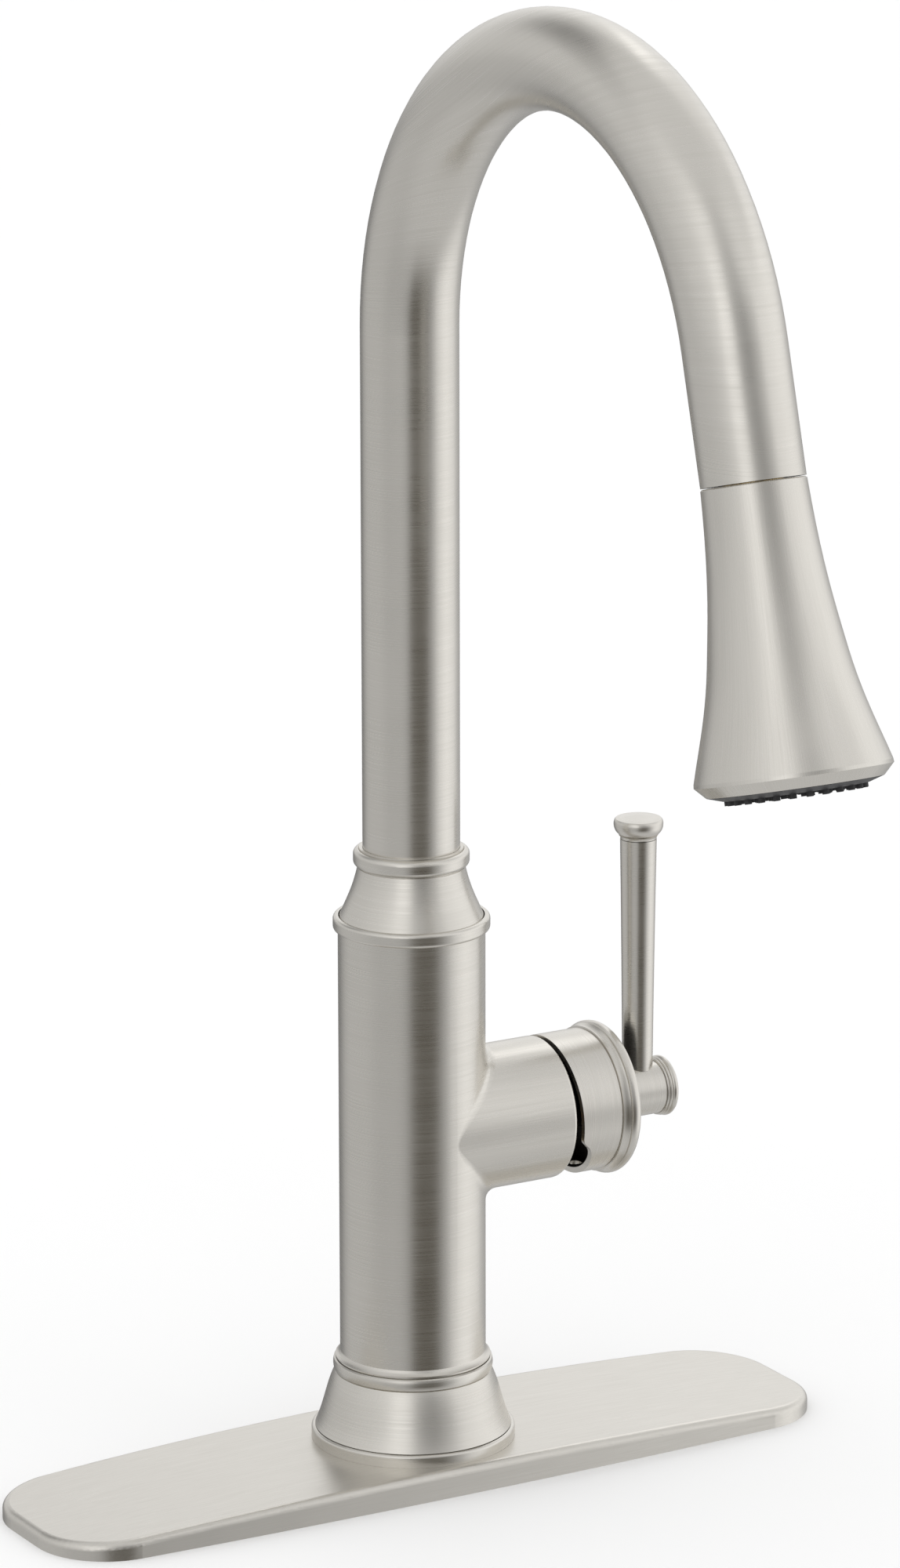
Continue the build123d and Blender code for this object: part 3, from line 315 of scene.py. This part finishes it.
def moulded(name, colours, roughness):
    """Moulded plastic with a fine spark-eroded grain."""
    gloss = (roughness - mould_spread, roughness + mould_spread)
    return worked(name, drawn(mould_grain), colours, gloss, metallic=0.0, depth=grain_relief,
                  cloud=mould_cloud)


def dress(finish, *names):
    """Give CAD nodes a finish."""
    for name in names:
        cad[name].data.materials.clear()
        cad[name].data.materials.append(finish)


grey_acetal = moulded("grey_acetal", ((0.27, 0.28, 0.29), (0.34, 0.35, 0.36)), 0.45)
dress(worked("belt_finished_nickel", drawn(belt_lines), nickel, belt_gloss), "deck_plate")
dress(grey_acetal, "plate_liner")

# ---------------------------------------------------------------- foot
# Turned brass, nickel plated. The flat ring sits on the plate over a rubber ring seal, and the flared foot
# sits on the ring. The polishing lines of a lathe run round both.
ring_lines = (25.0, 25.0, 2600.0)
lathe_gloss = (0.24, 0.34)
rubber_grain = (900.0, 900.0, 900.0)
rubber_colours = ((0.018, 0.018, 0.018), (0.035, 0.034, 0.033))
turned_nickel = worked("turned_nickel", drawn(ring_lines), nickel, lathe_gloss)
nitrile = worked("nitrile_rubber", drawn(rubber_grain), rubber_colours, (0.5, 0.66), metallic=0.0,
                 depth=grain_relief)
dress(turned_nickel, "base_ring", "flared_base")
dress(nitrile, "base_seal")

# ---------------------------------------------------------------- column and side branch
# One brass casting. The column is turned, so its lines run round it, and the branch is polished along its
# own length, so its lines run out from the column.
branch_lines = (30.0, 2300.0, 2300.0)
branch_from = 0.0215
branch_blend = 0.0022


def column_pattern(tree):
    """Rings round the column, and lines along the branch."""
    place = placed(tree)
    outward = remap(tree, split(tree, place)["X"], branch_from, branch_from + branch_blend)
    rings = noise(tree, stretched(tree, place, ring_lines))
    lengthwise = noise(tree, stretched(tree, place, branch_lines))
    return blend_colours(tree, outward, rings, lengthwise)


dress(worked("cast_body_nickel", column_pattern, nickel, lathe_gloss), "body_shell")

# ---------------------------------------------------------------- clamp under the sink
# A brass shank through the sink's hole, a rubber and a steel washer, and a brass nut with two clamp screws.
# All are plain machined pieces.
brass = ((0.58, 0.42, 0.19), (0.78, 0.60, 0.32))
steel = ((0.50, 0.51, 0.52), (0.64, 0.65, 0.66))
brass_gloss = (0.22, 0.38)
brass_cloud = 110.0
machined_brass = worked("machined_brass", drawn((60.0, 60.0, 3000.0)), brass, brass_gloss, cloud=brass_cloud)
plain_steel = worked("plain_steel", drawn((400.0, 400.0, 2400.0)), steel, (0.2, 0.34))
dress(machined_brass, "mounting_shank", "mounting_nut")
dress(nitrile, "deck_washer")
dress(plain_steel, "clamp_washer", "nut_screws")

# ---------------------------------------------------------------- water ways
# A brass block feeds the cartridge through three drawn copper tubes, brazed in and bent down the shank. They
# end in turned brass nipples under the sink.
copper_colours = ((0.42, 0.20, 0.12), (0.80, 0.46, 0.32))
copper_lines = (1800.0, 1800.0, 90.0)
oxide_scale = 60.0
oxide_share = 0.6
cast_grain = (700.0, 700.0, 700.0)
cast_relief = 0.00003


def drawn_copper(tree):
    """Lines along the tubes, under patches of heat from brazing."""
    place = placed(tree)
    lines = noise(tree, stretched(tree, place, copper_lines))
    patches = noise(tree, place, scale=oxide_scale, detail=5.0, roughness=0.7)
    return plus(tree, times(tree, lines, 1.0 - oxide_share), times(tree, patches, oxide_share))


copper = worked("drawn_copper", drawn_copper, copper_colours, (0.25, 0.45))
dress(copper, "hot_tube", "cold_tube", "outlet_tube")
dress(worked("cast_brass", drawn(cast_grain), brass, (0.3, 0.5), depth=cast_relief), "water_block")
dress(machined_brass, "hot_inlet", "cold_inlet", "outlet_nipple")

# ---------------------------------------------------------------- cartridge
# Two lapped ceramic discs in a moulded housing. The stem's ball slides the upper disc for flow, and the
# spindle turns it for temperature. A brass nut holds the cartridge in the branch.
across_branch = (2600.0, 40.0, 40.0)
lapped_grain = (2200.0, 2200.0, 2200.0)
lapped_relief = 0.000004
ceramic_colours = ((0.84, 0.83, 0.79), (0.92, 0.91, 0.88))
white_acetal = moulded("white_acetal", ((0.74, 0.73, 0.69), (0.84, 0.83, 0.80)), 0.42)
lapped_ceramic = worked("lapped_ceramic", drawn(lapped_grain), ceramic_colours, (0.12, 0.22), metallic=0.0,
                        depth=lapped_relief)
turned_steel = worked("turned_steel", drawn(across_branch), steel, (0.2, 0.32))
dress(grey_acetal, "cartridge_base", "cartridge_housing")
dress(nitrile, "port_seals")
dress(lapped_ceramic, "fixed_disc", "moving_disc")
dress(white_acetal, "disc_carrier", "cartridge_spindle")
dress(turned_steel, "stem_pin", "cartridge_stem", "handle_set_screw")
dress(worked("turned_brass", drawn(across_branch), brass, brass_gloss), "cartridge_nut")

# ---------------------------------------------------------------- handle
# The hub's skirt, band and flange are turned about the branch's axis, and so are the arm and its end ring.
# The hollow under the skirt is painted near black as painted shade and made rougher; the lever and its finial
# are turned about their own length.
hollow_radius = 0.0197
hollow_end = 0.0595
hollow_dullness = 0.3
# painted shade: the near-black colour given to the hollow under the skirt
painted_hollow_shade = (0.03, 0.028, 0.026)
branch_height = joint["temperature_turn"]["pos_m"][2]


def squared(tree, value):
    """A value times itself."""
    return calculate(tree, "POWER", value, 2.0)


hub_finish, hub_tree, hub_shader = new_finish("hub_nickel_painted_hollow_shade")
hub_lines = drawn(across_branch)(hub_tree)
hub_x, hub_y, hub_z = split(hub_tree, placed(hub_tree))
hub_rise = minus(hub_tree, hub_z, branch_height)
from_axis = calculate(hub_tree, "SQRT", plus(hub_tree, squared(hub_tree, hub_rise), squared(hub_tree, hub_y)))
hollow = times(hub_tree, calculate(hub_tree, "LESS_THAN", from_axis, hollow_radius),
               calculate(hub_tree, "LESS_THAN", hub_x, hollow_end))
hub_tint = remap(hub_tree, hub_lines, *tint_span)
plated = blend_colours(hub_tree, hub_tint, *[opaque(colour) for colour in nickel])
# painted shade: inside the hollow under the skirt the nickel colour gives way to near black
link(hub_tree, blend_colours(hub_tree, hollow, plated, opaque(painted_hollow_shade)), hub_shader.inputs["Base Color"])
hub_gloss = remap(hub_tree, hub_lines, *gloss_span, *reversed(lathe_gloss))
hub_roughness = plus(hub_tree, hub_gloss, times(hub_tree, hollow, hollow_dullness))
link(hub_tree, hub_roughness, hub_shader.inputs["Roughness"])
hub_shader.inputs["Metallic"].default_value = 1.0
relief(hub_tree, hub_lines, hub_shader, metal_relief)
dress(hub_finish, "handle_hub")
dress(worked("hub_nickel", drawn(across_branch), nickel, lathe_gloss), "handle_stub", "stub_end_ring")
dress(turned_nickel, "lever_rod", "lever_knob")

# ---------------------------------------------------------------- swivel of the spout
# A brass spigot turns in two acetal bushes in the column, with rubber seals and a steel clip. The cone and
# the small ring over it are what shows of the joint.
dress(turned_nickel, "spout_collar", "spout_ring")
dress(machined_brass, "swivel_spigot")
dress(white_acetal, "lower_bush", "upper_bush", "thrust_washer")
dress(nitrile, "swivel_seals")
dress(plain_steel, "retaining_clip")

# ---------------------------------------------------------------- gooseneck
# A bent brass tube, nickel plated. The polishing belt went round the tube, so its lines follow the bend as
# rings. A plastic insert with a magnet in the mouth holds the spray head.
head_axis = Vector(joint["spray_pull"]["axis"]).normalized()
seam = Vector(joint["spray_twist"]["pos_m"])
tube_high = Vector(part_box("spout_tube")[1])
tube_radius = tube_high.x
radial = Vector((0.0, head_axis.z, -head_axis.y))
crown = tube_high.z - tube_radius
bend_radius = (seam.dot(radial) - radial.z * crown) / (1.0 - radial.y - radial.z)
bend_centre = Vector((0.0, -bend_radius, crown - bend_radius))
last_angle = math.atan2(-radial.y, radial.z)
past_bend = bend_radius * radial
magnet_colours = ((0.42, 0.43, 0.45), (0.58, 0.59, 0.61))
magnet_grain = (500.0, 500.0, 500.0)


def along_gooseneck(tree):
    """Rings round the tube: up the leg, round the bend and down the outlet."""
    x, y, z = split(tree, placed(tree))
    forward = minus(tree, bend_centre.y, y)
    up = minus(tree, z, bend_centre.z)
    angle = calculate(tree, "ARCTAN2", forward, up)
    on_bend = remap(tree, angle, -math.pi / 2, last_angle, -math.pi / 2, last_angle)
    bend = times(tree, on_bend, bend_radius)
    behind = calculate(tree, "LESS_THAN", forward, 0.0)
    leg = times(tree, calculate(tree, "MINIMUM", up, 0.0), behind)
    past_forward = times(tree, plus(tree, forward, past_bend.y), -head_axis.y)
    past_up = times(tree, minus(tree, up, past_bend.z), head_axis.z)
    past_end = calculate(tree, "MAXIMUM", plus(tree, past_forward, past_up), 0.0)
    outlet = times(tree, past_end, calculate(tree, "GREATER_THAN", forward, 0.0))
    joined = tree.nodes.new("ShaderNodeCombineXYZ")
    tree.links.new(x, joined.inputs["X"])
    tree.links.new(forward, joined.inputs["Y"])
    tree.links.new(plus(tree, plus(tree, bend, leg), outlet), joined.inputs["Z"])
    return noise(tree, stretched(tree, joined.outputs[0], ring_lines))


moulded_black = moulded("black_acetal", ((0.010, 0.010, 0.011), (0.024, 0.024, 0.026)), 0.46)
plated_magnet = worked("plated_magnet", drawn(magnet_grain), magnet_colours, (0.12, 0.24))
dress(worked("gooseneck_nickel", along_gooseneck, nickel, lathe_gloss), "spout_tube")
dress(moulded_black, "dock_insert")
dress(plated_magnet, "dock_magnet")

# ---------------------------------------------------------------- pull-down hose
# A rubber hose in a braided nylon sleeve, with a crimped brass end. It is drawn out of the spout as the spray
# head is pulled down; this piece starts in the outlet and runs the length of the hose lead, which it
# replaces.
hose_sides = 40
hose_rings = 64
braid_pitch = 0.0085
braid_strands = 12
braid_relief = 0.00012
fibre_scale = 5200.0
fibre_share = 0.35
sleeve_grain = (1300.0, 1300.0, 1300.0)
sleeve_relief = 0.00005
nylon = ((0.05, 0.05, 0.055), (0.24, 0.24, 0.25))
nylon_gloss = (0.5, 0.7)


def braid(tree):
    """Two sets of strands that wind round the hose in opposite directions and pass over each other."""
    place = placed(tree, seam, head_axis)
    x, y, z = split(tree, place)
    turn_round = times(tree, calculate(tree, "ARCTAN2", y, x), float(braid_strands))
    advance = times(tree, z, 2 * math.pi * braid_strands / braid_pitch)
    first = calculate(tree, "SINE", plus(tree, turn_round, advance))
    second = calculate(tree, "SINE", minus(tree, turn_round, advance))
    crossing = remap(tree, calculate(tree, "MAXIMUM", first, second), -0.6, 1.0, 0.2, 0.62)
    fibres = minus(tree, noise(tree, place, scale=fibre_scale), 0.5)
    return plus(tree, crossing, times(tree, fibres, fibre_share))


lead = [head_axis.dot(point.co) for point in cad["hose_lead"].data.vertices]
on_axis = seam - head_axis * head_axis.dot(seam)
lead_start = on_axis + head_axis * min(lead)
lead_end = on_axis + head_axis * max(lead)
across = Vector((1.0, 0.0, 0.0))
beside = head_axis.cross(across)
hose_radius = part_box("hose_lead")[1][0]
hose_points = []
for ring_number in range(hose_rings + 1):
    middle = lead_start.lerp(lead_end, ring_number / hose_rings)
    for side in range(hose_sides):
        angle = 2 * math.pi * side / hose_sides
        hose_points.append(middle + hose_radius * (math.cos(angle) * across + math.sin(angle) * beside))
hose_faces = []
for here in range(0, hose_rings * hose_sides, hose_sides):
    for side in range(hose_sides):
        beyond = (side + 1) % hose_sides
        hose_faces.append((here + side, here + hose_sides + side, here + hose_sides + beyond, here + beyond))
hose_faces.append(tuple(range(hose_sides)))
hose_faces.append(tuple(reversed(range(hose_rings * hose_sides, (hose_rings + 1) * hose_sides))))
braided_hose = mesh_piece("braided_hose", hose_points, hose_faces)
braided_hose.data.shade_smooth()
nylon_braid = worked("nylon_braid", braid, nylon, nylon_gloss, metallic=0.0, depth=braid_relief)
braided_hose.data.materials.append(nylon_braid)
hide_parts("hose_lead")
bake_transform(braided_hose)
hose_sleeve = worked("hose_sleeve", drawn(sleeve_grain), nylon, nylon_gloss, metallic=0.0,
                     depth=sleeve_relief)
dress(hose_sleeve, "hose_in_spout", "hose_in_body")
dress(machined_brass, "hose_ferrule")

# ---------------------------------------------------------------- spray head
# A drawn brass bell, nickel plated and belt polished along its length. Its black moulded face carries a soft
# mat whose nozzles stand through it, and the selector button rocks on a steel pin.
head_lines = (85.0, 85.0, 40.0)
silicone_grain = (1100.0, 1100.0, 1100.0)
silicone_colours = ((0.010, 0.010, 0.011), (0.026, 0.026, 0.028))


def along_head(tree):
    """Lines that run down the bell from its neck to its rim."""
    place = placed(tree, seam, head_axis)
    outward = tree.nodes.new("ShaderNodeVectorMath")
    outward.operation = "NORMALIZE"
    tree.links.new(stretched(tree, place, (1.0, 1.0, 0.0)), outward.inputs[0])
    joined = tree.nodes.new("ShaderNodeVectorMath")
    joined.operation = "ADD"
    tree.links.new(outward.outputs[0], joined.inputs[0])
    tree.links.new(stretched(tree, place, (0.0, 0.0, 1.0)), joined.inputs[1])
    return noise(tree, stretched(tree, joined.outputs[0], head_lines))


silicone = worked("nozzle_silicone", drawn(silicone_grain), silicone_colours, (0.55, 0.72), metallic=0.0,
                  depth=grain_relief)
dress(worked("spray_head_nickel", along_head, nickel, lathe_gloss), "spray_shell")
dress(moulded_black, "spray_face", "selector_button")
dress(silicone, "nozzle_mat")
dress(plain_steel, "selector_pin")
dress(white_acetal, "spray_core", "check_valve")
dress(nitrile, "core_seal")
dress(grey_acetal, "stream_insert")
dress(plated_magnet, "head_magnet")
